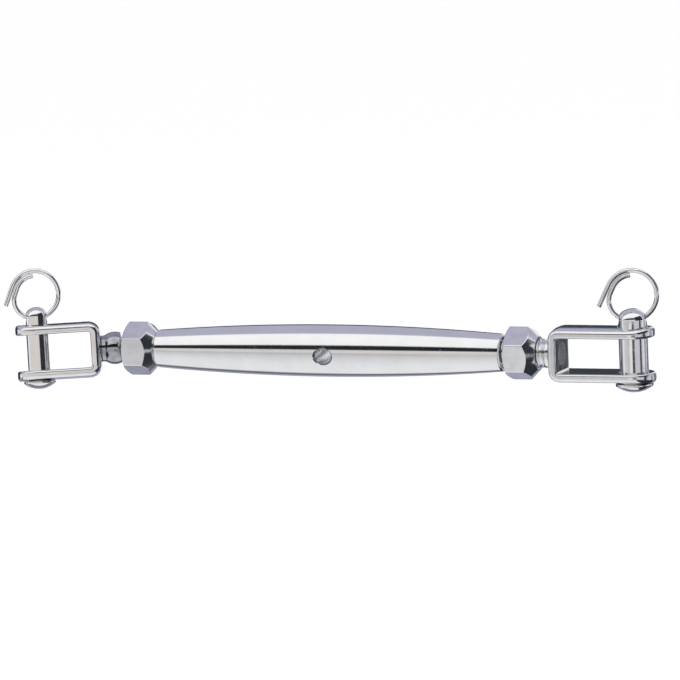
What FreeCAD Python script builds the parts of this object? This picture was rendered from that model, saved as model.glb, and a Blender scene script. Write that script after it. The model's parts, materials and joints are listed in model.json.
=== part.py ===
import FreeCAD, Part
import math
import os

from FreeCAD import Vector

# Closed-body rigging screw: a turned barrel between two threaded studs, each with a lock nut.
# One stud carries a fixed fork, the other ends in a ball on which a second fork swings.
# +X runs along the barrel to the fixed fork, +Z along the fixed fork's clevis pin.
# The origin is the centre of the bar hole, at the middle of the barrel. Millimetres.

# Barrel, turned with a slight belly
barrel_length = 100.7
barrel_mid_diameter = 14.4
barrel_end_diameter = 10.4
barrel_rim_chamfer = 0.45
barrel_web_half = 7.4
drill_point_angle = 118.0
bar_hole_diameter = 4.6
bar_hole_chamfer = 0.9
barrel_roll = 5.7

# Thread, drawn as its major diameter, right-hand at the fixed fork and left-hand at the ball
thread_diameter = 8.0
thread_clearance = 0.05

# Lock nuts: a hexagon with a long cone on the side that faces the fixed fork
nut_across_flats = 13.0
nut_edge_length = 5.2
nut_face_diameter = 11.8
nut_face_chamfer = 0.8
nut_cone_diameter = 9.2
fixed_nut_gap = 1.2
ball_nut_gap = 0.1
fixed_nut_roll = 6.9
ball_nut_roll = 2.0

# Forks, bent from one width of strap
strap_width = 12.0
strap_thickness = 2.9
fixed_jaw_gap = 9.6
ball_jaw_gap = 9.8
bend_inner_radius = 0.6
strap_edge_radius = 0.45
fixed_fork_standoff = 13.6
fixed_fork_reach = 23.4
ball_fork_reach = 17.6
rivet_diameter = 6.4
seat_clearance = 0.02

# Studs
stud_to_hole_gap = 9.0

# Ball joint
ball_centre_standoff = 12.95
ball_diameter = 7.0
ball_clearance = 0.05
ball_neck_diameter = 4.8
ball_neck_flare_length = 1.2
ball_shoulder_gap = 3.9
socket_diameter = 9.0
socket_lip_angle = 66.5
ball_fork_yaw = 20.2
ball_fork_pitch = -1.3
ball_fork_roll = -8.0

# Clevis pins, each with the height over the fork that it spans
pin_clearance = 0.05
pin_head_lift = 0.05
fixed_pin = dict(
    fork_height=fixed_jaw_gap + 2 * strap_thickness,
    diameter=8.0,
    head_diameter=10.4,
    head_rim=0.7,
    head_dome=1.9,
    tail=4.9,
    tail_crown=1.9,
    hole_diameter=3.1,
    hole_height=2.3,
    turn=20.0,
)
ball_pin = dict(
    fork_height=ball_jaw_gap + 2 * strap_thickness,
    diameter=6.0,
    head_diameter=8.8,
    head_rim=0.6,
    head_dome=1.6,
    tail=4.8,
    tail_crown=1.6,
    hole_diameter=2.5,
    hole_height=2.05,
    turn=0.0,
)

# Split rings: the inner end of the wire lies inside the turn and the tail runs off straight
ring_wire = 1.3
ring_wire_gap = 0.08
ring_bend_share = 0.735
ring_tuck_angle = 152.0
ring_inner_end_angle = 92.0
ring_tail_length = 6.3
fixed_ring_diameter = 15.0
ball_ring_diameter = 14.4

x_axis = Vector(1, 0, 0)
y_axis = Vector(0, 1, 0)
z_axis = Vector(0, 0, 1)

# Slack for telling edges and faces apart by where they lie
slack = 1e-4

barrel_half = barrel_length / 2
thread_radius = thread_diameter / 2
bore_radius = thread_radius + thread_clearance
socket_depth = ball_diameter / 2 + 2 * ball_clearance


def at(x, y=0.0, z=0.0):
    return Vector(x, y, z)


def turned(shape, axis, degrees):
    copy = shape.copy()
    copy.rotate(at(0), axis, degrees)
    return copy


def moved(shape, offset):
    copy = shape.copy()
    copy.translate(offset)
    return copy


def rod(radius, start, end):
    return Part.makeCylinder(radius, end - start, at(start), x_axis)


def lathe(edges, axis):
    """Revolve a closed outline of edges about an axis through the origin."""
    face = Part.Face(Part.Wire(edges))
    return face.revolve(at(0), axis, 360)


def chain(points):
    """Straight edges from each point to the next."""
    return [Part.LineSegment(a, b).toShape() for a, b in zip(points, points[1:])]


def arc(start, middle, end):
    return Part.Arc(start, middle, end).toShape()


def bellied_blank():
    """Outer form of the barrel: one long arc from rim to rim, both rims chamfered."""
    end_radius = barrel_end_diameter / 2
    chamfer_start = barrel_half - barrel_rim_chamfer
    edges = chain([at(-barrel_half), at(-barrel_half, end_radius - barrel_rim_chamfer),
                   at(-chamfer_start, end_radius)])
    edges.append(arc(at(-chamfer_start, end_radius), at(0, barrel_mid_diameter / 2),
                     at(chamfer_start, end_radius)))
    edges += chain([at(chamfer_start, end_radius),
                    at(barrel_half, end_radius - barrel_rim_chamfer),
                    at(barrel_half), at(-barrel_half)])
    return lathe(edges, x_axis)


def barrel():
    """The barrel: a blind bore from each end, and the bar hole through the web between them."""
    body = bellied_blank()
    point_depth = bore_radius / math.tan(math.radians(drill_point_angle / 2))
    for side in (-1, 1):
        bottom = at(side * barrel_web_half)
        body = body.cut(Part.makeCylinder(bore_radius, barrel_half - barrel_web_half,
                                          bottom, at(side)))
        body = body.cut(Part.makeCone(bore_radius, 0, point_depth, bottom, at(-side)))
    mid_radius = barrel_mid_diameter / 2
    hole_radius = bar_hole_diameter / 2
    body = body.cut(Part.makeCylinder(hole_radius, 2 * mid_radius, at(0, -mid_radius), y_axis))
    for side in (-1, 1):
        mouth = at(0, side * mid_radius)
        inward = at(0, -side)
        body = body.cut(Part.makeCone(hole_radius + bar_hole_chamfer, hole_radius,
                                      bar_hole_chamfer, mouth, inward))
    return turned(body, x_axis, barrel_roll)


def nut_length():
    corner_radius = nut_across_flats / math.sqrt(3)
    return nut_face_chamfer + nut_edge_length + corner_radius - nut_cone_diameter / 2


def lock_nut(face_x, roll):
    """A lock nut whose plain face lies at face_x and whose cone points along +X."""
    corner_radius = nut_across_flats / math.sqrt(3)
    edge_start = nut_face_chamfer
    edge_end = edge_start + nut_edge_length
    outline = chain([at(0), at(0, nut_face_diameter / 2), at(edge_start, corner_radius),
                     at(edge_end, corner_radius), at(nut_length(), nut_cone_diameter / 2),
                     at(nut_length()), at(0)])
    turned_form = lathe(outline, x_axis)
    corners = []
    for index in range(7):
        angle = math.radians(90 + 60 * index)
        corners.append(at(0, corner_radius * math.cos(angle), corner_radius * math.sin(angle)))
    hexagon = Part.Face(Part.makePolygon(corners)).extrude(at(nut_length()))
    nut = turned_form.common(hexagon).cut(rod(bore_radius, 0, nut_length()))
    return moved(turned(nut, x_axis, roll), at(face_x))


def bent_strap(reach, pin):
    """A fork about its pin axis: a strap bent to a U, open towards +X, with rounded ends."""
    outer_half = pin["fork_height"] / 2
    inner_half = outer_half - strap_thickness
    half_width = strap_width / 2
    bend_outer_radius = bend_inner_radius + strap_thickness
    outer = Part.makeBox(reach + half_width, strap_width, 2 * outer_half,
                         at(-reach, -half_width, -outer_half))
    base_edges = [edge for edge in outer.Edges
                  if edge.BoundBox.XMax < slack - reach and edge.BoundBox.YLength > half_width]
    outer = outer.makeFillet(bend_outer_radius, base_edges)
    hollow = Part.makeBox(reach + strap_width, strap_width, 2 * inner_half,
                          at(strap_thickness - reach, -half_width, -inner_half))
    hollow_edges = [edge for edge in hollow.Edges
                    if edge.BoundBox.XMax < strap_thickness - reach + slack
                    and edge.BoundBox.YLength > half_width]
    hollow = hollow.makeFillet(bend_inner_radius, hollow_edges)
    plan = Part.makeBox(reach, strap_width, 2 * outer_half,
                        at(-reach, -half_width, -outer_half))
    plan = plan.fuse(Part.makeCylinder(half_width, 2 * outer_half, at(0, 0, -outer_half)))
    fork = outer.common(plan).cut(hollow).removeSplitter()
    rim = [edge for edge in fork.Edges if on_strap_rim(edge, reach, inner_half)]
    fork = fork.makeFillet(strap_edge_radius, rim)
    pin_hole = Part.makeCylinder(pin["diameter"] / 2 + pin_clearance, 2 * outer_half,
                                 at(0, 0, -outer_half))
    rivet_hole = rod(rivet_diameter / 2 + seat_clearance, -reach, strap_thickness - reach)
    return fork.cut(pin_hole).cut(rivet_hole)


def on_strap_rim(edge, reach, inner_half):
    """True for the outer edges along the strap's two sides, which are rounded by polishing."""
    middle = edge.valueAt((edge.FirstParameter + edge.LastParameter) / 2)
    on_side = abs(abs(middle.y) - strap_width / 2) < slack
    on_end = middle.x > slack
    outer_face = abs(middle.z) > inner_half + strap_thickness / 2
    behind_hollow = middle.x < strap_thickness / 2 - reach
    return (on_side or on_end) and (outer_face or behind_hollow) and edge.Length > slack


def fixed_fork_base():
    return barrel_half + fixed_fork_standoff


def fixed_fork():
    pin_axis = fixed_fork_base() + fixed_fork_reach
    return moved(bent_strap(fixed_fork_reach, fixed_pin), at(pin_axis))


def fixed_stud():
    """The right-hand stud, its end riveted through the fixed fork's base."""
    base = fixed_fork_base()
    shank = rod(thread_radius, stud_to_hole_gap, base)
    return shank.fuse(rod(rivet_diameter / 2, base, base + strap_thickness))


def ball_centre():
    return at(-barrel_half - ball_centre_standoff)


def ball_stud():
    """The left-hand stud, necked down to the ball that carries the swinging fork."""
    centre = ball_centre().x
    shoulder = centre + ball_shoulder_gap
    flare = Part.makeCone(ball_neck_diameter / 2, thread_radius, ball_neck_flare_length,
                          at(shoulder - ball_neck_flare_length), x_axis)
    neck = rod(ball_neck_diameter / 2, centre, shoulder - ball_neck_flare_length)
    ball = Part.makeSphere(ball_diameter / 2, at(centre))
    shank = rod(thread_radius, shoulder, -stud_to_hole_gap)
    return shank.fuse(flare).fuse(neck).fuse(ball).removeSplitter()


def ball_socket_form():
    """The socket about the ball's centre: a cup rolled over the ball, riveted on -X."""
    outer_radius = socket_diameter / 2
    inner_radius = ball_diameter / 2 + ball_clearance
    lip = math.radians(socket_lip_angle)
    half_lip = math.radians((90 + socket_lip_angle) / 2)
    rivet_end = socket_depth + strap_thickness

    def on_circle(radius, angle):
        return at(radius * math.cos(angle), radius * math.sin(angle))

    edges = chain([at(-inner_radius), at(-rivet_end), at(-rivet_end, rivet_diameter / 2),
                   at(-socket_depth, rivet_diameter / 2), at(-socket_depth, outer_radius),
                   at(0, outer_radius)])
    edges.append(arc(at(0, outer_radius), on_circle(outer_radius, half_lip),
                     on_circle(outer_radius, lip)))
    edges += chain([on_circle(outer_radius, lip), on_circle(inner_radius, lip)])
    edges.append(arc(on_circle(inner_radius, lip), at(0, inner_radius), at(-inner_radius)))
    return lathe(edges, x_axis)


def hung_on_ball(shape):
    """Turn a shape, drawn about the ball's centre, to the way the loose fork lies."""
    placed = turned(shape, x_axis, ball_fork_roll)
    placed = turned(placed, y_axis, ball_fork_pitch)
    placed = turned(placed, z_axis, ball_fork_yaw)
    return moved(placed, ball_centre())


def at_ball_pin(shape):
    """Place a shape, drawn about a pin axis with its fork's base on +X, on the ball fork."""
    return hung_on_ball(moved(shape, at(-socket_depth - ball_fork_reach)))


def at_fixed_pin(shape):
    """Place a shape, drawn about a pin axis, on the fixed fork."""
    return moved(shape, at(fixed_fork_base() + fixed_fork_reach))


def ball_fork():
    return at_ball_pin(turned(bent_strap(ball_fork_reach, ball_pin), z_axis, 180))


def clevis_pin(size):
    """A pin along Z about the jaw's middle: domed head below, crowned and drilled tail above."""
    radius = size["diameter"] / 2
    head_radius = size["head_diameter"] / 2
    head_top = -size["fork_height"] / 2 - pin_head_lift
    head_rim = head_top - size["head_rim"]
    head_end = head_rim - size["head_dome"]
    tail_end = size["fork_height"] / 2 + size["tail"]
    crown_start = tail_end - size["tail_crown"]
    edges = [arc(at(0, 0, head_end), dome_point(head_radius, head_rim, -size["head_dome"]),
                 at(head_radius, 0, head_rim))]
    edges += chain([at(head_radius, 0, head_rim), at(head_radius, 0, head_top),
                    at(radius, 0, head_top), at(radius, 0, crown_start)])
    edges.append(arc(at(radius, 0, crown_start),
                     dome_point(radius, crown_start, size["tail_crown"]), at(0, 0, tail_end)))
    edges += chain([at(0, 0, tail_end), at(0, 0, head_end)])
    pin = lathe(edges, z_axis)
    hole_z = size["fork_height"] / 2 + size["hole_height"]
    hole = Part.makeCylinder(size["hole_diameter"] / 2, 2 * head_radius,
                             at(-head_radius, 0, hole_z), x_axis)
    return turned(pin.cut(hole), z_axis, size["turn"])


def dome_point(rim_radius, rim_z, rise):
    """A point half way up a spherical dome of the given rim radius and rise."""
    sphere_radius = (rim_radius ** 2 + rise ** 2) / (2 * abs(rise))
    half_angle = math.asin(min(1.0, rim_radius / sphere_radius)) / 2
    lift = sphere_radius * (math.cos(half_angle) - math.cos(2 * half_angle))
    return at(sphere_radius * math.sin(half_angle), 0, rim_z + math.copysign(lift, rise))


def split_ring(outer_diameter, size):
    """A ring of wire in the XZ plane, threaded through a pin's drilled tail."""
    turn_radius = (outer_diameter - ring_wire) / 2
    tucked_radius = turn_radius - ring_wire - ring_wire_gap
    pin_radius = size["diameter"] / 2
    sagitta = turn_radius - math.sqrt(turn_radius ** 2 - pin_radius ** 2)
    centre_z = size["fork_height"] / 2 + size["hole_height"] + turn_radius - sagitta / 2

    def on_turn(radius, degrees):
        angle = math.radians(degrees)
        return at(radius * math.cos(angle), 0, radius * math.sin(angle))

    bend_radius = turn_radius * ring_bend_share
    bend_offset = turn_radius - bend_radius
    tuck_offset = tucked_radius - bend_radius
    slide = math.sqrt(bend_offset ** 2 - tuck_offset ** 2)
    bend_angle = ring_tuck_angle + math.degrees(math.atan2(slide, tuck_offset))
    tuck_normal = on_turn(1, ring_tuck_angle)
    tuck_along = on_turn(1, ring_tuck_angle + 90)
    bend_centre = tuck_normal * tuck_offset + tuck_along * slide
    bend_middle = bend_centre + on_turn(bend_radius, (bend_angle + ring_tuck_angle) / 2)
    bend_end = bend_centre + tuck_normal * bend_radius
    tail_start = on_turn(turn_radius, ring_tuck_angle)
    tail_end = tail_start + tuck_along * ring_tail_length

    edges = chain([tail_end, tail_start])
    edges.append(arc(tail_start, on_turn(turn_radius, (ring_tuck_angle + bend_angle - 360) / 2),
                     on_turn(turn_radius, bend_angle)))
    edges.append(arc(on_turn(turn_radius, bend_angle), bend_middle, bend_end))
    edges += chain([bend_end, on_turn(tucked_radius, ring_tuck_angle)])
    edges.append(arc(on_turn(tucked_radius, ring_tuck_angle),
                     on_turn(tucked_radius, (ring_tuck_angle + ring_inner_end_angle) / 2),
                     on_turn(tucked_radius, ring_inner_end_angle)))
    section = Part.Wire(Part.makeCircle(ring_wire / 2, tail_end, tail_start - tail_end))
    pipe = Part.Wire(edges).makePipeShell([section], True, False, 2)
    return turned(moved(pipe, at(0, 0, centre_z)), z_axis, size["turn"])


def make_parts():
    fixed_nut_face = barrel_half + fixed_nut_gap
    ball_nut_face = -barrel_half - ball_nut_gap - nut_length()
    return {
        "barrel": barrel(),
        "fixed_end_lock_nut": lock_nut(fixed_nut_face, fixed_nut_roll),
        "ball_end_lock_nut": lock_nut(ball_nut_face, ball_nut_roll),
        "fixed_fork": fixed_fork(),
        "fixed_fork_stud": fixed_stud(),
        "ball_stud": ball_stud(),
        "ball_socket": hung_on_ball(ball_socket_form()),
        "ball_fork": ball_fork(),
        "fixed_fork_pin": at_fixed_pin(clevis_pin(fixed_pin)),
        "ball_fork_pin": at_ball_pin(clevis_pin(ball_pin)),
        "fixed_fork_ring": at_fixed_pin(split_ring(fixed_ring_diameter, fixed_pin)),
        "ball_fork_ring": at_ball_pin(split_ring(ball_ring_diameter, ball_pin)),
    }


os.makedirs("parts", exist_ok=True)
for name, shape in make_parts().items():
    shape.exportStep("parts/" + name + ".step")
    print(name, shape.ShapeType, len(shape.Solids), round(shape.Volume, 2), shape.isValid())
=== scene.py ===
# Rigging screw: a bellied barrel with a lock nut and a fork at each end, one fork hung on a ball.
# Sizes in the dictionaries are millimetres and degrees.
import bmesh
import bpy
import json
import math
from mathutils import Matrix, Vector


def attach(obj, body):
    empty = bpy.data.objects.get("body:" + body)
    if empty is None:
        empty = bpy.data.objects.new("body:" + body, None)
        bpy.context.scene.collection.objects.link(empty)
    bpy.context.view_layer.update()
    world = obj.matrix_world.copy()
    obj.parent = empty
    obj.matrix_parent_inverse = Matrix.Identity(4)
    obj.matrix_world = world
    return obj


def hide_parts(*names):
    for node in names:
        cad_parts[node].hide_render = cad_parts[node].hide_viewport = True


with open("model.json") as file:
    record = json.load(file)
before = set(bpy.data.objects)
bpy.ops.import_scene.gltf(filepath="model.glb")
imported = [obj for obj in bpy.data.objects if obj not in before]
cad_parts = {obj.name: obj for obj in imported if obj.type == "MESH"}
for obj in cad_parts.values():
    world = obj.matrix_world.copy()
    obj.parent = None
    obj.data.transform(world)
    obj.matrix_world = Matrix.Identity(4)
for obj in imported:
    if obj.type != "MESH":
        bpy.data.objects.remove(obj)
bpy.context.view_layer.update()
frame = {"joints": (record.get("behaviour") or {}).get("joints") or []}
print("stage: frame loaded")

mm = 0.001
scene = bpy.context.scene
jointNamed = {joint["name"]: joint for joint in frame["joints"]}


# Mesh helpers

def turnMatrix(degrees, axis):
    return Matrix.Rotation(math.radians(degrees), 4, axis)


def jointPlace(name):
    # where a joint's axis passes, in millimetres
    return Vector(jointNamed[name]["pos_m"]) / mm


def roundCorners(points, softness, steps=4, closed=False):
    # corners that turn by more than 12 degrees become small curves
    result = []
    last = len(points) - 1
    for index, point in enumerate(points):
        here = Vector(point)
        before = Vector(points[index - 1])
        after = Vector(points[(index + 1) % len(points)])
        if not closed and index in (0, last):
            result.append(tuple(here))
            continue
        if (here - before).angle(after - here) < math.radians(12):
            result.append(tuple(here))
            continue
        cut = min(softness, (before - here).length * 0.45, (after - here).length * 0.45)
        start = here + (before - here).normalized() * cut
        end = here + (after - here).normalized() * cut
        for step in range(steps + 1):
            share = step / steps
            curve = start * (1 - share) ** 2 + here * 2 * share * (1 - share) + end * share ** 2
            result.append(tuple(curve))
    return result


def arcPoints(centre, radius, startDegrees, endDegrees, steps):
    points = []
    for step in range(steps + 1):
        angle = math.radians(startDegrees + (endDegrees - startDegrees) * step / steps)
        points.append((centre[0] + radius * math.cos(angle), centre[1] + radius * math.sin(angle)))
    return points


def meshObject(name, vertices, faces, place):
    mesh = bpy.data.meshes.new(name)
    mesh.from_pydata([(place @ Vector(vertex)) * mm for vertex in vertices], [], faces)
    obj = bpy.data.objects.new(name, mesh)
    scene.collection.objects.link(obj)
    return obj


def tidyMesh(obj):
    sharpAngle = 38
    work = bmesh.new()
    work.from_mesh(obj.data)
    bmesh.ops.remove_doubles(work, verts=work.verts, dist=2e-7)
    bmesh.ops.dissolve_degenerate(work, edges=work.edges, dist=1e-8)
    bmesh.ops.recalc_face_normals(work, faces=work.faces)
    work.to_mesh(obj.data)
    work.free()
    obj.data.shade_smooth()
    obj.data.set_sharp_from_angle(angle=math.radians(sharpAngle))
    return obj


def wrapRows(name, rows, place):
    # skin over rings of points; a ring that has shrunk to one point closes the end
    count = len(rows[0])
    vertices = [point for row in rows for point in row]
    faces = []
    for row in range(len(rows) - 1):
        for column in range(count):
            right = (column + 1) % count
            low = row * count
            high = low + count
            faces.append((low + column, low + right, high + right, high + column))
    return tidyMesh(meshObject(name, vertices, faces, place))


def ringOf(along, radius, steps):
    # one ring of points round the X axis
    points = []
    for step in range(steps):
        angle = 2 * math.pi * step / steps
        points.append((along, radius * math.cos(angle), radius * math.sin(angle)))
    return points


def lathe(name, outline, place, steps):
    return wrapRows(name, [ringOf(along, radius, steps) for along, radius in outline], place)


def applyModifiers(obj):
    shown = obj.evaluated_get(bpy.context.evaluated_depsgraph_get())
    mesh = bpy.data.meshes.new_from_object(shown)
    obj.modifiers.clear()
    obj.data = mesh


def cutWith(obj, tool, operation="DIFFERENCE"):
    # boolean with a helper solid, which is then removed
    cut = obj.modifiers.new("cut", "BOOLEAN")
    cut.operation = operation
    cut.solver = "EXACT"
    cut.object = tool
    applyModifiers(obj)
    bpy.data.objects.remove(tool)
    tidyMesh(obj)


sameWay = 0.97                                 # two directions this alike are one surface


def leanNormals(obj, rule):
    # exact normals where the rule knows the surface, the mesh's own elsewhere
    mesh = obj.data
    normals = [corner.vector.copy() for corner in mesh.corner_normals]
    for polygon in mesh.polygons:
        for corner in polygon.loop_indices:
            point = mesh.vertices[mesh.loops[corner].vertex_index].co / mm
            known = rule(point, polygon.normal)
            if known is not None:
                normals[corner] = known
    mesh.normals_split_custom_set([tuple(normal) for normal in normals])


def weighNormals(obj):
    weigh = obj.modifiers.new("weigh", "WEIGHTED_NORMAL")
    weigh.keep_sharp = True
    applyModifiers(obj)


# Material helpers

def node(tree, kind, **inputs):
    made = tree.nodes.new(kind)
    for name, value in inputs.items():
        made.inputs[name].default_value = value
    return made


def mathNode(tree, operation, first, second=None, third=None):
    made = tree.nodes.new("ShaderNodeMath")
    made.operation = operation
    for index, value in enumerate((first, second, third)):
        if value is None:
            continue
        if isinstance(value, (int, float)):
            made.inputs[index].default_value = value
        else:
            tree.links.new(value, made.inputs[index])
    return made.outputs[0]


def rampNode(tree, source, stops):
    ramp = tree.nodes.new("ShaderNodeValToRGB")
    elements = ramp.color_ramp.elements
    while len(elements) < len(stops):
        elements.new(0.5)
    for element, (position, colour) in zip(elements, stops):
        element.position = position
        element.color = (*colour, 1)
    tree.links.new(source, ramp.inputs[0])
    return ramp.outputs[0]


def blend(tree, share, first, second):
    made = tree.nodes.new("ShaderNodeMixRGB")
    # each input takes a plain value or another node's output
    for slot, value in (("Fac", share), ("Color1", first), ("Color2", second)):
        if isinstance(value, tuple):
            made.inputs[slot].default_value = (*value, 1)
        else:
            tree.links.new(value, made.inputs[slot])
    return made.outputs[0]


def steel(name, look):
    # polished stainless: soft clouding, hairlines along the last wiping stroke, small dull specks
    material = bpy.data.materials.new(name)
    material.use_nodes = True
    tree = material.node_tree
    shader = tree.nodes["Principled BSDF"]
    shader.inputs["Metallic"].default_value = 1.0
    place = tree.nodes.new("ShaderNodeTexCoord").outputs["Object"]

    clouds = node(tree, "ShaderNodeTexNoise", Scale=look["cloudScale"], Detail=4.0, Roughness=0.55)
    tree.links.new(place, clouds.inputs["Vector"])
    dark = [channel * (1 - look["mottle"]) for channel in look["colour"]]
    darkFrom, lightFrom = look["cloudStops"]
    colour = rampNode(tree, clouds.outputs[0], [(darkFrom, dark), (lightFrom, look["colour"])])
    tree.links.new(colour, shader.inputs["Base Color"])

    stretch = node(tree, "ShaderNodeMapping", Scale=look["hairStretch"])
    tree.links.new(place, stretch.inputs["Vector"])
    hairs = node(tree, "ShaderNodeTexNoise", Scale=look["hairScale"], Detail=3.0, Roughness=0.6)
    tree.links.new(stretch.outputs[0], hairs.inputs["Vector"])
    specks = node(tree, "ShaderNodeTexNoise", Scale=look["speckScale"], Detail=1.0)
    tree.links.new(place, specks.inputs["Vector"])
    speck = mathNode(tree, "GREATER_THAN", specks.outputs[0], look["speckFrom"])
    speckShare = mathNode(tree, "MULTIPLY", speck, look["speckRoughness"])
    hairShare = mathNode(tree, "MULTIPLY", hairs.outputs[0], look["hairRoughness"])
    rough = mathNode(tree, "ADD", mathNode(tree, "ADD", hairShare, speckShare), look["roughness"])
    tree.links.new(rough, shader.inputs["Roughness"])

    waves = mathNode(tree, "MULTIPLY", clouds.outputs[0], look["waviness"])
    scratches = mathNode(tree, "MULTIPLY", hairs.outputs[0], look["hairDepth"])
    relief = mathNode(tree, "ADD", waves, scratches)
    bump = node(tree, "ShaderNodeBump", Strength=1.0, Distance=look["reliefHeight"] * mm)
    tree.links.new(relief, bump.inputs["Height"])
    tree.links.new(bump.outputs[0], shader.inputs["Normal"])
    return material


def wear(obj, material):
    obj.data.materials.clear()
    obj.data.materials.append(material)


steelLook = {
    "colour": (0.80, 0.80, 0.81), "mottle": 0.06, "cloudScale": 160.0, "cloudStops": (0.3, 0.62),
    "roughness": 0.06, "hairRoughness": 0.08, "hairScale": 900.0, "hairStretch": (0.12, 1.0, 1.0),
    "speckScale": 1400.0, "speckFrom": 0.74, "speckRoughness": 0.10,
    "waviness": 0.35, "hairDepth": 0.10, "reliefHeight": 0.01,
}
barrelSteel = steel("barrel steel", steelLook)
forkSteel = steel("strap steel", {**steelLook, "cloudScale": 240.0, "mottle": 0.10,
                                  "roughness": 0.09, "waviness": 0.8, "hairRoughness": 0.10})
nutSteel = steel("nut steel", {**steelLook, "cloudScale": 300.0, "mottle": 0.12, "roughness": 0.12,
                               "waviness": 0.9, "hairStretch": (1.0, 0.2, 1.0)})
pinSteel = steel("pin steel", {**steelLook, "cloudScale": 260.0, "hairStretch": (1.0, 1.0, 0.15)})
threadSteel = steel("thread steel", {**steelLook, "roughness": 0.16, "mottle": 0.15,
                                     "hairStretch": (1.0, 0.1, 0.1)})
# the socket's colour is much darker than the other steel: painted shade for the dark reflections
# it takes from the nut and fork around it; its heavier clouding is random tone
paintedShadeSocketSteel = steel("socket steel painted dark", {**steelLook, "colour": (0.44, 0.45, 0.48), "mottle": 0.3,
                                     "cloudScale": 420.0, "waviness": 1.2})
# the wire's colour is set lighter than the other steel: painted light that brightens its
# reflections; its lower roughness is its polish
paintedBrightRingSteel = steel("spring wire painted bright", {**steelLook, "colour": (0.92, 0.92, 0.92), "cloudScale": 500.0,
                                  "roughness": 0.03, "hairRoughness": 0.04, "mottle": 0.14})
print("stage: materials made")


# Barrel

barrelSize = {
    "length": 100.7, "midDiameter": 14.4, "endDiameter": 10.4, "rimChamfer": 0.45,
    "boreDiameter": 8.1, "boreChamfer": 0.5, "webHalf": 7.4, "drillPoint": 118.0,
    "holeDiameter": 4.6, "holeChamfer": 0.55, "roll": 5.7,
    "edgeSoftness": 0.16, "holeSoftness": 0.35, "drilledRoughness": 0.17,
    "bellySteps": 96, "roundSteps": 192, "holeSteps": 96,
}


def bellyCentre(size):
    # centre and radius of the long arc, in the plane of the outline
    half = size["length"] / 2 - size["rimChamfer"]
    rise = (size["midDiameter"] - size["endDiameter"]) / 2
    radius = (half ** 2 + rise ** 2) / (2 * rise)
    return size["midDiameter"] / 2 - radius, radius


def buildBarrel(size):
    half = size["length"] / 2
    endRadius = size["endDiameter"] / 2
    bore = size["boreDiameter"] / 2
    drop, bend = bellyCentre(size)
    pointDepth = bore / math.tan(math.radians(size["drillPoint"] / 2))
    spread = math.degrees(math.asin((half - size["rimChamfer"]) / bend))
    belly = arcPoints((0, drop), bend, 90 + spread, 90 - spread, size["bellySteps"])
    mouth = [(size["webHalf"] - pointDepth, 0), (size["webHalf"], bore),
             (half - size["boreChamfer"], bore), (half, bore + size["boreChamfer"]),
             (half, endRadius - size["rimChamfer"])]
    left = [(-along, radius) for along, radius in mouth]
    outline = roundCorners(left + belly + mouth[::-1], size["edgeSoftness"])
    place = turnMatrix(size["roll"], "X")
    barrel = lathe("barrelBody", outline, place, size["roundSteps"])

    middle = size["midDiameter"] / 2
    hole = size["holeDiameter"] / 2
    flare = size["holeChamfer"]
    spare = 1                                  # the cutter stands proud of the metal by this
    side = [(middle + spare, hole + flare + spare), (middle - flare, hole)]
    cutterLine = [(-middle - spare, 0)] + [(-along, radius) for along, radius in side]
    cutterLine += side[::-1] + [(middle + spare, 0)]
    cutterLine = roundCorners(cutterLine, size["holeSoftness"], 6)
    toY = turnMatrix(90, "Z")
    cutWith(barrel, lathe("barHoleCutter", cutterLine, place @ toY, size["holeSteps"]))

    def polish(point, normal):
        # the belly's own normal, so that the cut leaves no ripple in the reflections
        slack = 0.02                           # how far off the true surface still counts
        around = Vector((0, point.y, point.z))
        if around.length < endRadius - 0.3 or abs(point.x) > half - size["rimChamfer"] + slack:
            return None
        level = drop + math.sqrt(bend ** 2 - point.x ** 2)
        if abs(around.length - level) > slack or normal.dot(around.normalized()) < sameWay:
            return None
        outward = around.normalized() * (around.length - drop)
        outward.x = point.x
        return outward.normalized()

    leanNormals(barrel, polish)
    return barrel


def drilledSteel(material, size):
    # the bar hole's wall is left as the drill made it, and only the outside is polished
    tree = material.node_tree
    shader = tree.nodes["Principled BSDF"]
    apart = tree.nodes.new("ShaderNodeSeparateXYZ")
    tree.links.new(tree.nodes.new("ShaderNodeTexCoord").outputs["Object"], apart.inputs[0])
    roll = math.radians(size["roll"])
    rise = mathNode(tree, "MULTIPLY", apart.outputs[2], math.cos(roll))
    rise = mathNode(tree, "MULTIPLY_ADD", apart.outputs[1], -math.sin(roll), rise)
    squares = mathNode(tree, "MULTIPLY", rise, rise)
    squares = mathNode(tree, "MULTIPLY_ADD", apart.outputs[0], apart.outputs[0], squares)
    slack = 0.03                               # how far outside the wall the finish still shows
    wall = (size["holeDiameter"] / 2 + slack) * mm
    inHole = mathNode(tree, "LESS_THAN", squares, wall ** 2)
    polished = shader.inputs["Roughness"].links[0].from_socket
    rough = mathNode(tree, "MULTIPLY_ADD", inHole, size["drilledRoughness"], polished)
    tree.links.new(rough, shader.inputs["Roughness"])


barrel = buildBarrel(barrelSize)
drilledSteel(barrelSteel, barrelSize)
wear(barrel, barrelSteel)
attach(barrel, "barrel")
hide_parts("barrel")
print("stage: barrel made")


# Lock nuts

nutSize = {
    "acrossFlats": 13.0, "edgeLength": 5.2, "faceDiameter": 11.8, "faceChamfer": 0.8,
    "coneDiameter": 9.2, "boreDiameter": 8.1, "boreChamfer": 0.5, "cornerWear": 0.07,
    "edgeSoftness": 0.16, "exitChamfer": 0.25, "flatSteps": 12,
    "fixedGap": 1.2, "ballGap": 0.1, "fixedRoll": 6.9, "ballRoll": 2.0,
}


def nutLength(size):
    corner = size["acrossFlats"] / math.sqrt(3)
    return size["faceChamfer"] + size["edgeLength"] + corner - size["coneDiameter"] / 2


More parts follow.
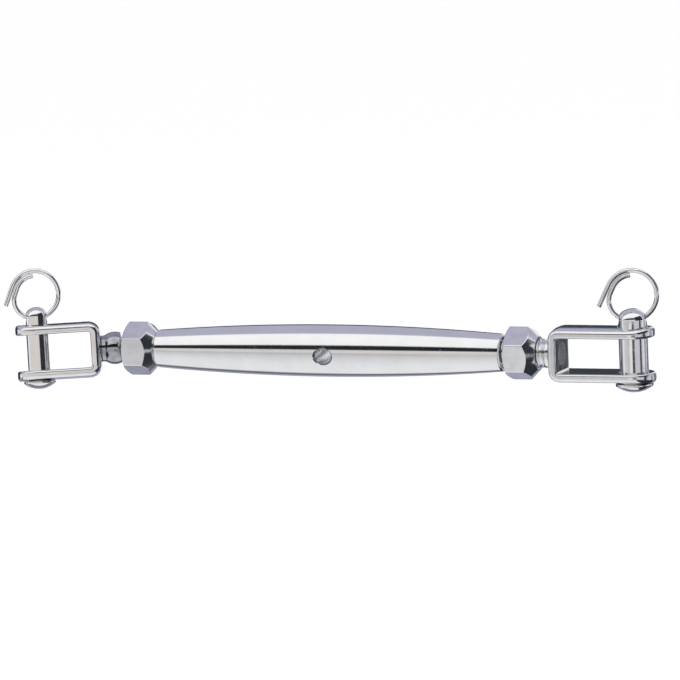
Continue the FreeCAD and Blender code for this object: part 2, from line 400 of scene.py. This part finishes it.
def nutOutline(size, reach):
    # one section through the axis, where the hexagon's radius is reach
    corner = size["acrossFlats"] / math.sqrt(3)
    face = size["faceDiameter"] / 2
    bore = size["boreDiameter"] / 2
    length = nutLength(size)
    faceEdge = size["faceChamfer"] * (reach - face) / (corner - face)
    coneEdge = length - (reach - size["coneDiameter"] / 2)
    points = [(size["boreChamfer"], bore), (0, bore + size["boreChamfer"]), (0, face),
              (faceEdge, reach), (coneEdge, reach), (length, size["coneDiameter"] / 2),
              (length, bore + size["exitChamfer"]), (length - size["exitChamfer"], bore)]
    line = roundCorners(points, size["edgeSoftness"], 3, closed=True)
    return line + line[:1]


def buildNut(name, size, face, roll):
    corner = size["acrossFlats"] / math.sqrt(3) - size["cornerWear"]
    flat = size["acrossFlats"] / 2
    turn = math.degrees(math.acos(flat / corner))
    steps = size["flatSteps"]
    leans = [-30, -turn] + [turn * step / steps for step in range(1 - steps, steps)] + [turn]
    angles = [60 * side + lean for side in range(6) for lean in leans]
    columns = []
    for side in range(6):
        for lean in leans:
            reach = min(flat / math.cos(math.radians(lean)), corner)
            columns.append(nutOutline(size, reach))
    rows = []
    for index in range(len(columns[0])):
        row = []
        for angle, column in zip(angles, columns):
            along, radius = column[index]
            row.append((along, radius * math.cos(math.radians(angle)),
                        radius * math.sin(math.radians(angle))))
        rows.append(row)
    place = Matrix.Translation((face, 0, 0)) @ turnMatrix(roll, "X")
    nut = wrapRows(name, rows, place)
    nut.data.set_sharp_from_angle(angle=math.radians(60))
    weighNormals(nut)
    return nut


barrelEnd = barrelSize["length"] / 2
fixedNut = buildNut("fixedEndLockNut", nutSize, barrelEnd + nutSize["fixedGap"],
                    nutSize["fixedRoll"])
ballNut = buildNut("ballEndLockNut", nutSize, -barrelEnd - nutSize["ballGap"] - nutLength(nutSize),
                   nutSize["ballRoll"])
for nut, body in ((fixedNut, "fixed_end_lock_nut"), (ballNut, "ball_end_lock_nut")):
    wear(nut, nutSteel)
    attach(nut, body)
    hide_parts(body)
print("stage: lock nuts made")


# Threaded studs

threadSize = {"diameter": 8.0, "pitch": 1.25, "depth": 0.70, "crest": 0.14, "root": 0.24,
              "endChamfer": 0.9, "fade": 0.9, "columns": 72}


def threadRadius(size, phase):
    # flat crest and root with straight flanks between; phase runs from one crest to the next
    distance = min(phase, 1 - phase) * 2
    sunk = (distance - size["crest"]) / (1 - size["crest"] - size["root"])
    return size["diameter"] / 2 - size["depth"] * min(1.0, max(0.0, sunk))


def threadRows(size, start, end, hand, plainEnd):
    # rows follow the helix and are clipped at both ends; the thread fades out towards plainEnd
    rows = []
    pitch = size["pitch"]
    crestEnd, rootStart = size["crest"] / 2, 0.5 - size["root"] / 2
    flank = (crestEnd + rootStart) / 2
    stops = (0.0, crestEnd, flank, rootStart, 1 - rootStart, 1 - flank, 1 - crestEnd)
    low, high = min(start, end), max(start, end)
    for turn in range(-1, int((high - low) / pitch) + 2):
        for stop in stops:
            row = []
            for column in range(size["columns"]):
                share = column / size["columns"]
                shift = share if hand > 0 else 1 - share
                along = low + pitch * (turn + stop + shift)
                along = min(high, max(low, along))
                phase = ((along - low) / pitch - hand * share) % 1.0
                radius = threadRadius(size, phase)
                fade = min(1.0, abs(along - plainEnd) / size["fade"])
                radius = radius * fade + size["diameter"] / 2 * (1 - fade)
                angle = 2 * math.pi * share
                row.append((along, radius * math.cos(angle), radius * math.sin(angle)))
            rows.append(row)
    return rows


def chamferEnd(rows, end, size):
    # the free end is turned down at 45 degrees
    chamfered = []
    for row in rows:
        chamfered.append([])
        for along, y, z in row:
            radius = math.hypot(y, z)
            limit = size["diameter"] / 2 - size["endChamfer"] + abs(along - end)
            scale = min(1.0, limit / radius)
            chamfered[-1].append((along, y * scale, z * scale))
    return chamfered


fixedStudSize = {"innerEnd": 9.0, "threadEnd": 63.1, "base": 63.95, "rivetDiameter": 6.4,
                 "rivetLength": 2.9, "edgeSoftness": 0.15}


def buildFixedStud(size):
    radius = threadSize["diameter"] / 2
    rivet = size["rivetDiameter"] / 2
    rows = threadRows(threadSize, size["innerEnd"], size["threadEnd"], 1, size["threadEnd"])
    rows = chamferEnd(rows, size["innerEnd"], threadSize)
    tail = [(size["base"] - 0.2, radius), (size["base"], radius), (size["base"], rivet),
            (size["base"] + size["rivetLength"], rivet), (size["base"] + size["rivetLength"], 0)]
    tail = roundCorners([(size["threadEnd"] + 0.1, radius)] + tail, size["edgeSoftness"])
    rows = [ringOf(size["innerEnd"], 0, threadSize["columns"])] + rows
    rows += [ringOf(along, ring, threadSize["columns"]) for along, ring in tail]
    stud = wrapRows("fixedForkStud", rows, Matrix.Identity(4))
    rivetFace = size["base"] + size["rivetLength"] - size["edgeSoftness"] - 0.01

    def flush(point, normal):
        # the riveted end is ground flat with the strap
        return Vector((1, 0, 0)) if point.x > rivetFace and normal.x > 0.3 else None

    leanNormals(stud, flush)
    return stud


ballStudSize = {"innerEnd": -9.0, "shoulder": 3.9, "flare": 1.2, "neckDiameter": 4.8,
                "ballDiameter": 7.0, "plain": 1.4, "edgeSoftness": 0.4}


def buildBallStud(size, centre):
    radius = threadSize["diameter"] / 2
    neck = size["neckDiameter"] / 2
    ball = size["ballDiameter"] / 2
    neckAngle = math.degrees(math.asin(neck / ball))
    shoulder = centre + size["shoulder"]
    line = arcPoints((centre, 0), ball, 180, neckAngle, 40)
    line += [(shoulder - size["flare"], neck), (shoulder, radius),
             (shoulder + size["plain"], radius)]
    line = roundCorners(line, size["edgeSoftness"])
    rows = [ringOf(along, max(0.0, ring), threadSize["columns"]) for along, ring in line]
    plainEnd = shoulder + size["plain"] + 0.1
    thread = threadRows(threadSize, plainEnd, size["innerEnd"], -1, plainEnd)
    rows += chamferEnd(thread, size["innerEnd"], threadSize)
    rows.append(ringOf(size["innerEnd"], 0, threadSize["columns"]))
    return wrapRows("ballStud", rows, Matrix.Identity(4))


ballCentre = jointPlace("ball_fork_swing")
fixedStud = buildFixedStud(fixedStudSize)
ballStud = buildBallStud(ballStudSize, ballCentre.x)
wear(fixedStud, threadSteel)
wear(ballStud, threadSteel)
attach(fixedStud, "fixed_fork")
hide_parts("fixed_fork_stud")
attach(ballStud, "ball_stud")
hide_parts("ball_stud")
print("stage: studs made")


# Ball socket

socketSize = {"diameter": 9.0, "ballClearance": 0.05, "ballDiameter": 7.0, "lipAngle": 66.5,
              "depth": 3.6, "rivetDiameter": 6.4, "rivetLength": 2.9,
              "footDiameter": 7.2, "footHeight": 0.5, "shoulderAngle": 124, "edgeSoftness": 0.18,
              "yaw": 20.2, "pitch": -1.3, "roll": -8.0}
hungPlace = (Matrix.Translation(ballCentre) @ turnMatrix(socketSize["yaw"], "Z")
             @ turnMatrix(socketSize["pitch"], "Y") @ turnMatrix(socketSize["roll"], "X"))


def buildSocket(size):
    outer = size["diameter"] / 2
    inner = size["ballDiameter"] / 2 + size["ballClearance"]
    rivet = size["rivetDiameter"] / 2
    back = -size["depth"]
    foot = size["footDiameter"] / 2
    line = [(back - size["rivetLength"], 0), (back - size["rivetLength"], rivet), (back, rivet),
            (back, foot), (back + size["footHeight"], foot)]
    line += arcPoints((0, 0), outer, size["shoulderAngle"], size["lipAngle"], 24)
    line += arcPoints((0, 0), inner, size["lipAngle"], 180, 40)
    line = [(along, max(0.0, radius)) for along, radius in line]
    return lathe("ballSocket", roundCorners(line, size["edgeSoftness"]), hungPlace, 96)


socket = buildSocket(socketSize)
wear(socket, paintedShadeSocketSteel)
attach(socket, "ball_fork")
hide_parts("ball_socket")
print("stage: socket made")


# Forks

forkSize = {
    "width": 12.0, "thickness": 2.9, "bendInner": 0.6, "rivetDiameter": 6.44, "pinClearance": 0.05,
    "crown": 0.7,                              # how far the outer face falls away at its sides
    # the polished rim, and the share of it that the jaw's rims, pin holes and rivet seat get
    "edgeRadius": 1.0, "innerShare": 0.7, "holeShare": 0.2, "seatShare": 0.05, "edgeSteps": 6,
}
fixedForkSize = {**forkSize, "gap": 9.6, "reach": 23.4, "pinDiameter": 8.0}
ballForkSize = {**forkSize, "gap": 9.8, "reach": 17.6, "pinDiameter": 6.0}


def prism(name, outline, low, high, place):
    # an outline in the XY plane drawn up from low to high
    count = len(outline)
    vertices = [(x, y, low) for x, y in outline] + [(x, y, high) for x, y in outline]
    faces = [tuple(range(count))[::-1], tuple(range(count, 2 * count))]
    for index in range(count):
        after = (index + 1) % count
        faces.append((index, after, count + after, count + index))
    return tidyMesh(meshObject(name, vertices, faces, place))


def strapProfile(size):
    outer = size["gap"] / 2 + size["thickness"]
    inner = size["gap"] / 2
    end = size["width"]
    bendOuter = size["bendInner"] + size["thickness"]
    back = -size["reach"]
    front = back + size["thickness"]
    line = [(end, -outer)]
    line += arcPoints((back + bendOuter, -outer + bendOuter), bendOuter, 270, 180, 16)
    line += arcPoints((back + bendOuter, outer - bendOuter), bendOuter, 180, 90, 16)
    line += [(end, outer), (end, inner)]
    line += arcPoints((front + size["bendInner"], inner - size["bendInner"]), size["bendInner"],
                      90, 180, 8)
    line += arcPoints((front + size["bendInner"], size["bendInner"] - inner), size["bendInner"],
                      180, 270, 8)
    line.append((end, -inner))
    return line


def buildFork(name, size, place):
    half = size["width"] / 2
    spare = 2                                  # the helper solids stand proud by up to this
    tall = size["gap"] / 2 + size["thickness"] + spare
    standing = turnMatrix(90, "X")
    fork = prism(name, strapProfile(size), -half - spare / 2, half + spare / 2, standing)
    plan = [(-size["reach"] - spare, -half)] + arcPoints((0, 0), half, -90, 90, 48)
    plan.append((-size["reach"] - spare, half))
    cutWith(fork, prism("plan", plan, -tall, tall, Matrix.Identity(4)), "INTERSECT")
    pinRadius = size["pinDiameter"] / 2 + size["pinClearance"]
    hole = arcPoints((0, 0), pinRadius, 0, 360, 72)[:-1]
    cutWith(fork, prism("pinHole", hole, -tall, tall, Matrix.Identity(4)))
    seat = arcPoints((0, 0), size["rivetDiameter"] / 2, 0, 360, 64)[:-1]
    lying = Matrix.Translation((-size["reach"], 0, 0)) @ turnMatrix(90, "Y")
    cutWith(fork, prism("rivetSeat", seat, -spare / 2, size["thickness"] + spare / 2, lying))

    crownStrap(fork, size)
    softenStrap(fork, size)
    weighNormals(fork)

    def polish(point, normal):
        # the round arm ends and the pin's holes, where a band of narrow faces would show
        slack = 0.02
        around = Vector((point.x, point.y, 0))
        if abs(normal.z) > slack or point.x < -half:
            return None
        if point.x > 0.2 and abs(around.length - half) < slack:
            return around.normalized()
        if abs(around.length - pinRadius) < slack:
            return -around.normalized()
        return None

    leanNormals(fork, polish)
    fork.data.transform(Matrix.Translation(place.to_translation() * mm)
                        @ place.to_3x3().to_4x4())
    return fork


def crownStrap(fork, size):
    # the strap's outer face is slightly arched from side to side, on the arms, bends and base
    work = bmesh.new()
    work.from_mesh(fork.data)
    half = size["width"] / 2
    for turn in range(-45, 60, 15):            # these cuts meet corners of the round arm ends
        level = half * math.sin(math.radians(turn)) * mm
        bmesh.ops.bisect_plane(work, geom=work.verts[:] + work.edges[:] + work.faces[:],
                               dist=1e-6, plane_co=(0, level, 0), plane_no=(0, 1, 0))
    outer = size["gap"] / 2 + size["thickness"]
    bend = size["bendInner"] + size["thickness"]
    bendAlong = bend - size["reach"]
    for vertex in work.verts:
        x, y, z = vertex.co / mm
        side = math.copysign(1, z)
        fall = size["crown"] * (y / half) ** 2
        arm = Vector((x - bendAlong, 0, z - side * (outer - bend)))
        if x >= bendAlong and abs(abs(z) - outer) < 0.01:
            vertex.co.z -= side * fall * mm
        elif x < bendAlong and abs(z) > outer - bend and abs(arm.length - bend) < 0.03:
            vertex.co -= arm.normalized() * fall * mm
        elif abs(z) <= outer - bend and abs(x + size["reach"]) < 0.01:
            vertex.co.x += fall * mm
    work.to_mesh(fork.data)
    work.free()


def softenStrap(fork, size):
    # outer rims get the full polished radius, the jaw's rims and the holes only a broken edge
    work = bmesh.new()
    work.from_mesh(fork.data)
    layer = work.edges.layers.float.new("bevel_weight_edge")
    middle = (size["gap"] + size["thickness"]) / 2
    for edge in work.edges:
        if len(edge.link_faces) != 2 or edge.calc_face_angle() < math.radians(30):
            continue
        centre = (edge.verts[0].co + edge.verts[1].co) / 2 / mm
        pinHole = math.hypot(centre.x, centre.y) < size["pinDiameter"] / 2 + 0.3
        seat = math.hypot(centre.y, centre.z) < size["rivetDiameter"] / 2 + 0.1
        outer = abs(centre.z) > middle or centre.x < size["thickness"] / 2 - size["reach"]
        if seat and centre.x < -size["reach"] / 2:
            edge[layer] = size["seatShare"]
        elif pinHole:
            edge[layer] = size["holeShare"]
        elif outer:
            edge[layer] = 1.0
        else:
            edge[layer] = size["innerShare"]
    work.to_mesh(fork.data)
    work.free()
    bevel = fork.modifiers.new("soften", "BEVEL")
    bevel.limit_method = "WEIGHT"
    bevel.width = size["edgeRadius"] * mm
    bevel.segments = size["edgeSteps"]
    bevel.use_clamp_overlap = False
    applyModifiers(fork)
    fork.data.shade_smooth()
    fork.data.set_sharp_from_angle(angle=math.radians(42))


fixedPinPlace = Matrix.Translation(jointPlace("fixed_pin_turn"))
ballPinPlace = hungPlace @ Matrix.Translation((-socketSize["depth"] - ballForkSize["reach"], 0, 0))
fixedFork = buildFork("fixedFork", fixedForkSize, fixedPinPlace)
ballFork = buildFork("ballFork", ballForkSize, ballPinPlace @ turnMatrix(180, "Z"))
for fork, body in ((fixedFork, "fixed_fork"), (ballFork, "ball_fork")):
    wear(fork, forkSteel)
    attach(fork, body)
    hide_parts(body)
print("stage: forks made")


# Clevis pins

pinBase = {"headLift": 0.05, "edgeSoftness": 0.25, "drillFlare": 0.35}
fixedPinSize = {**pinBase, "forkHeight": 15.4, "diameter": 8.0, "headDiameter": 10.4,
                "headRim": 0.7, "headDome": 1.9, "tail": 4.9, "tailRound": 3.0,
                "holeDiameter": 3.1, "holeHeight": 2.3, "turn": 20.0}
ballPinSize = {**pinBase, "forkHeight": 15.6, "diameter": 6.0, "headDiameter": 8.8,
               "headRim": 0.6, "headDome": 1.6, "tail": 4.8, "tailRound": 2.6,
               "holeDiameter": 2.5, "holeHeight": 2.05, "turn": 0.0}


def crownLine(rim, level, rise, steps):
    # a full, nearly round end: a quarter of an ellipse from the rim up to the pole
    points = []
    for step in range(steps + 1):
        angle = math.radians(90 * step / steps)
        points.append((level + rise * math.sin(angle), rim * math.cos(angle)))
    return points


def domeLine(rim, level, rise, steps):
    # points from the rim up to the pole of a spherical dome; rise may point down
    sphere = (rim ** 2 + rise ** 2) / (2 * abs(rise))
    spread = math.asin(min(1.0, rim / sphere))
    points = []
    for step in range(steps + 1):
        angle = spread * (1 - step / steps)
        lift = sphere * (math.cos(angle) - math.cos(spread))
        points.append((level + math.copysign(lift, rise), sphere * math.sin(angle)))
    return points


def buildPin(name, size, place):
    radius = size["diameter"] / 2
    head = size["headDiameter"] / 2
    top = size["forkHeight"] / 2
    headTop = -top - size["headLift"]
    headRim = headTop - size["headRim"]
    crown = top + size["tail"] - size["tailRound"]
    line = domeLine(head, headRim, -size["headDome"], 20)[::-1]
    line += [(headTop, head), (headTop, radius)]
    # a row every 1.5 mm along the shank, counted in eighths of a millimetre
    line += [(along / 8, radius) for along in range(int(headTop * 8) + 4, int(crown * 8) - 3, 12)]
    line += crownLine(radius, crown, size["tailRound"], 24)
    upright = place @ turnMatrix(size["turn"], "Z") @ turnMatrix(-90, "Y")
    pin = lathe(name, roundCorners(line, size["edgeSoftness"]), Matrix.Identity(4), 96)
    hole = size["holeDiameter"] / 2
    across = Matrix.Translation((top + size["holeHeight"], 0, 0)) @ turnMatrix(90, "Y")
    flare, spare = size["drillFlare"], 1       # the drill stands proud of the metal by spare
    mouth = [(radius - flare, hole), (radius + spare, hole + 1.2), (radius + spare, 0)]
    drill = [(-along, width) for along, width in mouth[::-1]] + mouth
    cutWith(pin, lathe("drill", drill, across, 48))

    def polish(point, normal):
        # the shank between the head and the crown
        margin = 0.3
        around = Vector((0, point.y, point.z))
        if abs(around.length - radius) > 0.004 or point.x < headTop + margin:
            return None
        if point.x > crown - margin or normal.dot(around.normalized()) < sameWay:
            return None
        return around.normalized()

    leanNormals(pin, polish)
    pin.data.transform(Matrix.Translation(upright.to_translation() * mm)
                       @ upright.to_3x3().to_4x4())
    return pin


fixedPin = buildPin("fixedForkPin", fixedPinSize, fixedPinPlace)
ballPin = buildPin("ballForkPin", ballPinSize, ballPinPlace)
for pin, body in ((fixedPin, "fixed_fork_pin"), (ballPin, "ball_fork_pin")):
    wear(pin, pinSteel)
    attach(pin, body)
    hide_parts(body)
print("stage: clevis pins made")


# Split rings

ringBase = {"wire": 1.3, "wireGap": 0.08, "bendShare": 0.735, "innerEndAngle": 92.0,
            "endDish": 0.18, "wireSteps": 28}
fixedRingSize = {**ringBase, "diameter": 15.0, "tuckAngle": 154.0, "tailLength": 6.5}
ballRingSize = {**ringBase, "diameter": 14.4, "tuckAngle": 158.0, "tailLength": 5.6}


def ringPath(size, pin):
    # centreline in the XZ plane, from the straight tail round to the tucked inner end
    turnRadius = (size["diameter"] - size["wire"]) / 2
    tucked = turnRadius - size["wire"] - size["wireGap"]
    pinRadius = pin["diameter"] / 2
    sagitta = turnRadius - math.sqrt(turnRadius ** 2 - pinRadius ** 2)
    level = pin["forkHeight"] / 2 + pin["holeHeight"] + turnRadius - sagitta / 2
    tuck = math.radians(size["tuckAngle"])
    outward = Vector((math.cos(tuck), math.sin(tuck)))
    forward = Vector((-math.sin(tuck), math.cos(tuck)))
    bendRadius = turnRadius * size["bendShare"]
    bendOffset = turnRadius - bendRadius
    tuckOffset = tucked - bendRadius
    slide = math.sqrt(bendOffset ** 2 - tuckOffset ** 2)
    bendAngle = size["tuckAngle"] + math.degrees(math.atan2(slide, tuckOffset))
    bendCentre = outward * tuckOffset + forward * slide
    tailStart = outward * turnRadius
    tailEnd = tailStart + forward * size["tailLength"]
    path = [tailEnd.lerp(tailStart, step / 12) for step in range(12)]
    path += [Vector(point) for point in arcPoints((0, 0), turnRadius, size["tuckAngle"],
                                                  bendAngle - 360, 110)]
    path += [Vector(point) for point in arcPoints(bendCentre, bendRadius, bendAngle,
                                                  size["tuckAngle"], 20)][1:]
    bendEnd = path[-1]
    tuckEnd = outward * tucked
    path += [bendEnd.lerp(tuckEnd, share) for share in (0.33, 0.66)]
    path += [Vector(point) for point in arcPoints((0, 0), tucked, size["tuckAngle"],
                                                  size["innerEndAngle"], 30)]
    return path, level


def buildRing(name, size, pin, place):
    path, level = ringPath(size, pin)
    wire = size["wire"] / 2
    dish = size["endDish"]                     # the cut ends are hollow by this depth
    rows = []

    def addRow(point, way, radius):
        side = Vector((-way.y, way.x))
        row = []
        for step in range(size["wireSteps"]):
            angle = 2 * math.pi * step / size["wireSteps"]
            spot = point + side * radius * math.cos(angle)
            row.append((spot.x, radius * math.sin(angle), spot.y + level))
        rows.append(row)

    def addEndRow(point, way, inward, degrees):
        # one row of the hollow end: 0 degrees is the bottom of the hollow, 90 the wire's rim
        lift = dish * math.sin(math.radians(degrees))
        addRow(point + way * inward * (dish - lift), way, wire - dish + lift)

    for index, point in enumerate(path):
        before = path[max(index - 1, 0)]
        after = path[min(index + 1, len(path) - 1)]
        way = (after - before).normalized()
        if index == 0:
            addRow(point, way, 0.0)
            for degrees in (0, 30, 60):
                addEndRow(point, way, 1, degrees)
        elif index < len(path) - 1:
            addRow(point, way, wire)
        else:
            for degrees in (60, 30, 0):
                addEndRow(point, way, -1, degrees)
            addRow(point, way, 0.0)
    return wrapRows(name, rows, place @ turnMatrix(pin["turn"], "Z"))


fixedRing = buildRing("fixedForkRing", fixedRingSize, fixedPinSize, fixedPinPlace)
ballRing = buildRing("ballForkRing", ballRingSize, ballPinSize, ballPinPlace)
for ring, body in ((fixedRing, "fixed_fork_ring"), (ballRing, "ball_fork_ring")):
    wear(ring, paintedBrightRingSteel)
    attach(ring, body)
    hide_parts(body)
print("stage: split rings made")


# Camera

# degrees and metres; lens and sensor in millimetres
cameraLook = {"azimuth": 20.0, "elevation": 8.0, "lean": 2.2, "distance": 3.0,
              "aimRight": 0.00253, "aimUp": 0.0029, "lens": 579.7, "sensor": 36, "clipEnd": 50}


def placeCamera(look):
    azimuth = math.radians(look["azimuth"])
    elevation = math.radians(look["elevation"])
    lean = math.radians(look["lean"])
    back = Vector((math.sin(azimuth) * math.cos(elevation),
                   -math.cos(azimuth) * math.cos(elevation), math.sin(elevation)))
    level = Vector((math.cos(azimuth), math.sin(azimuth), 0))
    rise = back.cross(level)
    right = level * math.cos(lean) - rise * math.sin(lean)
    up = level * math.sin(lean) + rise * math.cos(lean)
    data = bpy.data.cameras.new("camera")
    data.sensor_width = look["sensor"]
    data.lens = look["lens"]
    data.clip_end = look["clipEnd"]
    data.dof.use_dof = False
    camera = bpy.data.objects.new("camera", data)
    scene.collection.objects.link(camera)
    spot = right * look["aimRight"] + up * look["aimUp"] + back * look["distance"]
    camera.matrix_world = Matrix((
        (right.x, up.x, back.x, spot.x), (right.y, up.y, back.y, spot.y),
        (right.z, up.z, back.z, spot.z), (0, 0, 0, 1)))
    scene.camera = camera


placeCamera(cameraLook)


# Studio

slate = (0.03, 0.036, 0.042)
lilac = (0.42, 0.42, 0.55)
white = (1.0, 1.0, 1.0)
studioLook = {
    # degrees over the top, from the camera's side to the back, and the light from there
    "sky": [(-180, (0.75, 0.75, 0.75)), (0, (0.75, 0.75, 0.75)),
            (2, (0.82, 0.77, 0.73)), (12.5, (0.82, 0.77, 0.73)),
            (15.5, (0.012, 0.02, 0.024)), (36, (0.012, 0.02, 0.024)),
            (39.5, (1.1, 1.1, 1.09)), (93, (1.15, 1.15, 1.15)),
            (97, (0.52, 0.52, 0.65)), (156, (0.50, 0.50, 0.62)),
            (160, (0.04, 0.05, 0.06)), (180, (0.04, 0.05, 0.06))],
    # the dark side of the room: degrees to the right of the camera, and how high it reaches
    "darkSide": [(18, 0), (21, 1), (84, 1), (89, 0)], "darkSideTop": 46.0,
    # lengths from here on are metres
    "floorDrop": 0.25, "floorReach": 7.0,
    "floorColour": (0.82, 0.82, 0.82), "floorRoughness": 0.8, "floorGlow": 0.46,
    # the cloth that tones the steel from below: how far towards the camera, and its colour there
    "cloth": [(-0.85, lilac), (-0.26, lilac), (-0.24, (0.17, 0.18, 0.20)),
              (-0.13, (0.17, 0.18, 0.20)), (-0.11, (0.96, 0.97, 0.98)),
              (0.10, (0.94, 0.95, 0.96)), (0.35, (0.80, 0.81, 0.82)),
              (0.9, (0.66, 0.66, 0.67)), (2.0, (0.58, 0.58, 0.58)), (5.0, (0.50, 0.50, 0.50))],
    "clothSide": 4.0, "clothLift": 0.002,
    # its right side, in wedges that begin at this slope: metres right for each metre forward
    "wedges": [(0.15, (0.66, 0.66, 0.72)), (1.14, (0.34, 0.35, 0.40)), (1.18, slate),
               (1.9, (0.34, 0.35, 0.40))],
    "wedgesFrom": 0.8, "wedgesAside": 0.08,
    # pieces laid on it: middle and half width towards the camera, the same to the right, colour
    "patches": [(1.9, 0.45, -0.61, 0.36, (1.0, 0.98, 0.95)), (1.9, 0.45, 0.04, 0.29, slate),
                (0.29, 0.51, 0.82, 0.70, slate)],
    # upright boards behind the part: from and to on the right, from and to in height, colour
    "boards": [(-0.8, -0.118, -0.25, 0.0, slate), (0.118, 0.37, -0.25, 0.0, slate),
               (0.432, 0.8, -0.25, 0.0, slate), (0.16, 0.432, 0.0, 0.35, white)],
    "boardBack": 0.5,
    "lampPower": 6.0, "lampSize": 0.7, "lampPlace": (0.1, -0.25, 1.1),
}
towardsCamera = Vector((math.sin(math.radians(cameraLook["azimuth"])),
                        -math.cos(math.radians(cameraLook["azimuth"])), 0))
rightOfCamera = Vector((-towardsCamera.y, towardsCamera.x, 0))


def bearings(tree, way):
    # a direction or a place as seen from the object: towards the camera, to the right, and up
    apart = tree.nodes.new("ShaderNodeSeparateXYZ")
    tree.links.new(way, apart.inputs[0])
    found = []
    for axis in (towardsCamera, rightOfCamera):
        along = mathNode(tree, "MULTIPLY", apart.outputs[0], axis.x)
        found.append(mathNode(tree, "MULTIPLY_ADD", apart.outputs[1], axis.y, along))
    return found[0], found[1], apart.outputs[2]


def angleRamp(tree, across, along, stops):
    # a ramp over the full circle, with its stops in degrees
    angle = mathNode(tree, "DEGREES", mathNode(tree, "ARCTAN2", across, along))
    share = mathNode(tree, "MULTIPLY_ADD", angle, 1 / 360, 0.5)
    return rampNode(tree, share, [(degrees / 360 + 0.5, colour) for degrees, colour in stops])


def lightWorld(look):
    world = bpy.data.worlds.new("studio")
    scene.world = world
    world.use_nodes = True
    tree = world.node_tree
    way = tree.nodes.new("ShaderNodeTexCoord").outputs["Generated"]
    towards, aside, up = bearings(tree, way)
    sky = angleRamp(tree, up, towards, look["sky"])
    side = angleRamp(tree, aside, towards,
                     [(degrees, (level, level, level)) for degrees, level in look["darkSide"]])
    height = mathNode(tree, "DEGREES", mathNode(tree, "ARCSINE", up))
    low = mathNode(tree, "LESS_THAN", height, look["darkSideTop"])
    dark = mathNode(tree, "MULTIPLY", side, low)
    tree.links.new(blend(tree, dark, sky, slate), tree.nodes["Background"].inputs["Color"])


def layFloor(look):
    far = look["floorReach"] / mm
    drop = -look["floorDrop"] / mm
    corners = [(-far, -far, drop), (far, -far, drop), (far, far, drop), (-far, far, drop)]
    floor = meshObject("floor", corners, [(0, 1, 2, 3)], Matrix.Identity(4))
    material = bpy.data.materials.new("pale floor")
    material.use_nodes = True
    shader = material.node_tree.nodes["Principled BSDF"]
    shader.inputs["Base Color"].default_value = (*look["floorColour"], 1)
    shader.inputs["Roughness"].default_value = look["floorRoughness"]
    shader.inputs["Emission Color"].default_value = (*white, 1)
    shader.inputs["Emission Strength"].default_value = look["floorGlow"]
    wear(floor, material)


def plainGlow(name):
    material = bpy.data.materials.new(name)
    material.use_nodes = True
    tree = material.node_tree
    tree.nodes.clear()
    glow = tree.nodes.new("ShaderNodeEmission")
    out = tree.nodes.new("ShaderNodeOutputMaterial")
    tree.links.new(glow.outputs[0], out.inputs[0])
    return material, glow


def showOnlyInSteel(obj):
    # it tones the reflections only, and the floor stays plain
    obj.visible_camera = False
    obj.visible_diffuse = False
    obj.visible_transmission = False
    obj.visible_shadow = False


def spreadCloth(look):
    near = look["cloth"][0][0]
    far = look["cloth"][-1][0]
    side = look["clothSide"]
    height = Vector((0, 0, look["clothLift"] - look["floorDrop"]))
    corners = []
    for forward, right in ((near, -side), (far, -side), (far, side), (near, side)):
        corners.append((towardsCamera * forward + rightOfCamera * right + height) / mm)
    cloth = meshObject("cloth", corners, [(0, 1, 2, 3)], Matrix.Identity(4))
    material, glow = plainGlow("toned cloth")
    tree = material.node_tree
    place = tree.nodes.new("ShaderNodeTexCoord").outputs["Object"]
    forward, right, up = bearings(tree, place)
    share = mathNode(tree, "MULTIPLY_ADD", forward, 1 / (far - near), -near / (far - near))
    tone = rampNode(tree, share, [((stop - near) / (far - near), colour)
                                  for stop, colour in look["cloth"]])
    ahead = mathNode(tree, "GREATER_THAN", forward, look["wedgesFrom"])
    for lean, colour in look["wedges"]:
        beyond = mathNode(tree, "MULTIPLY_ADD", forward, -lean, right)
        inWedge = mathNode(tree, "GREATER_THAN", beyond, look["wedgesAside"])
        tone = blend(tree, mathNode(tree, "MULTIPLY", inWedge, ahead), tone, colour)
    for middle, halfForward, aside, halfRight, colour in look["patches"]:
        inForward = mathNode(tree, "COMPARE", forward, middle, halfForward)
        inRight = mathNode(tree, "COMPARE", right, aside, halfRight)
        tone = blend(tree, mathNode(tree, "MULTIPLY", inForward, inRight), tone, colour)
    tree.links.new(tone, glow.inputs["Color"])
    wear(cloth, material)
    showOnlyInSteel(cloth)


def standBoards(look):
    back = towardsCamera * -look["boardBack"]
    for start, end, low, high, colour in look["boards"]:
        corners = []
        for right, level in ((start, low), (end, low), (end, high), (start, high)):
            corners.append((back + rightOfCamera * right + Vector((0, 0, level))) / mm)
        board = meshObject("board", corners, [(0, 1, 2, 3)], Matrix.Identity(4))
        material, glow = plainGlow("painted board")
        glow.inputs["Color"].default_value = (*colour, 1)
        wear(board, material)
        showOnlyInSteel(board)


def hangLamp(look):
    data = bpy.data.lights.new("overhead", "AREA")
    data.energy = look["lampPower"]
    data.size = look["lampSize"]
    lamp = bpy.data.objects.new("overhead", data)
    scene.collection.objects.link(lamp)
    lamp.location = look["lampPlace"]
    lamp.rotation_euler = (-lamp.location).to_track_quat("-Z", "Y").to_euler()
    lamp.visible_glossy = False


lightWorld(studioLook)
layFloor(studioLook)
spreadCloth(studioLook)
standBoards(studioLook)
hangLamp(studioLook)
scene.view_settings.view_transform = "Standard"
print("stage: studio lit")
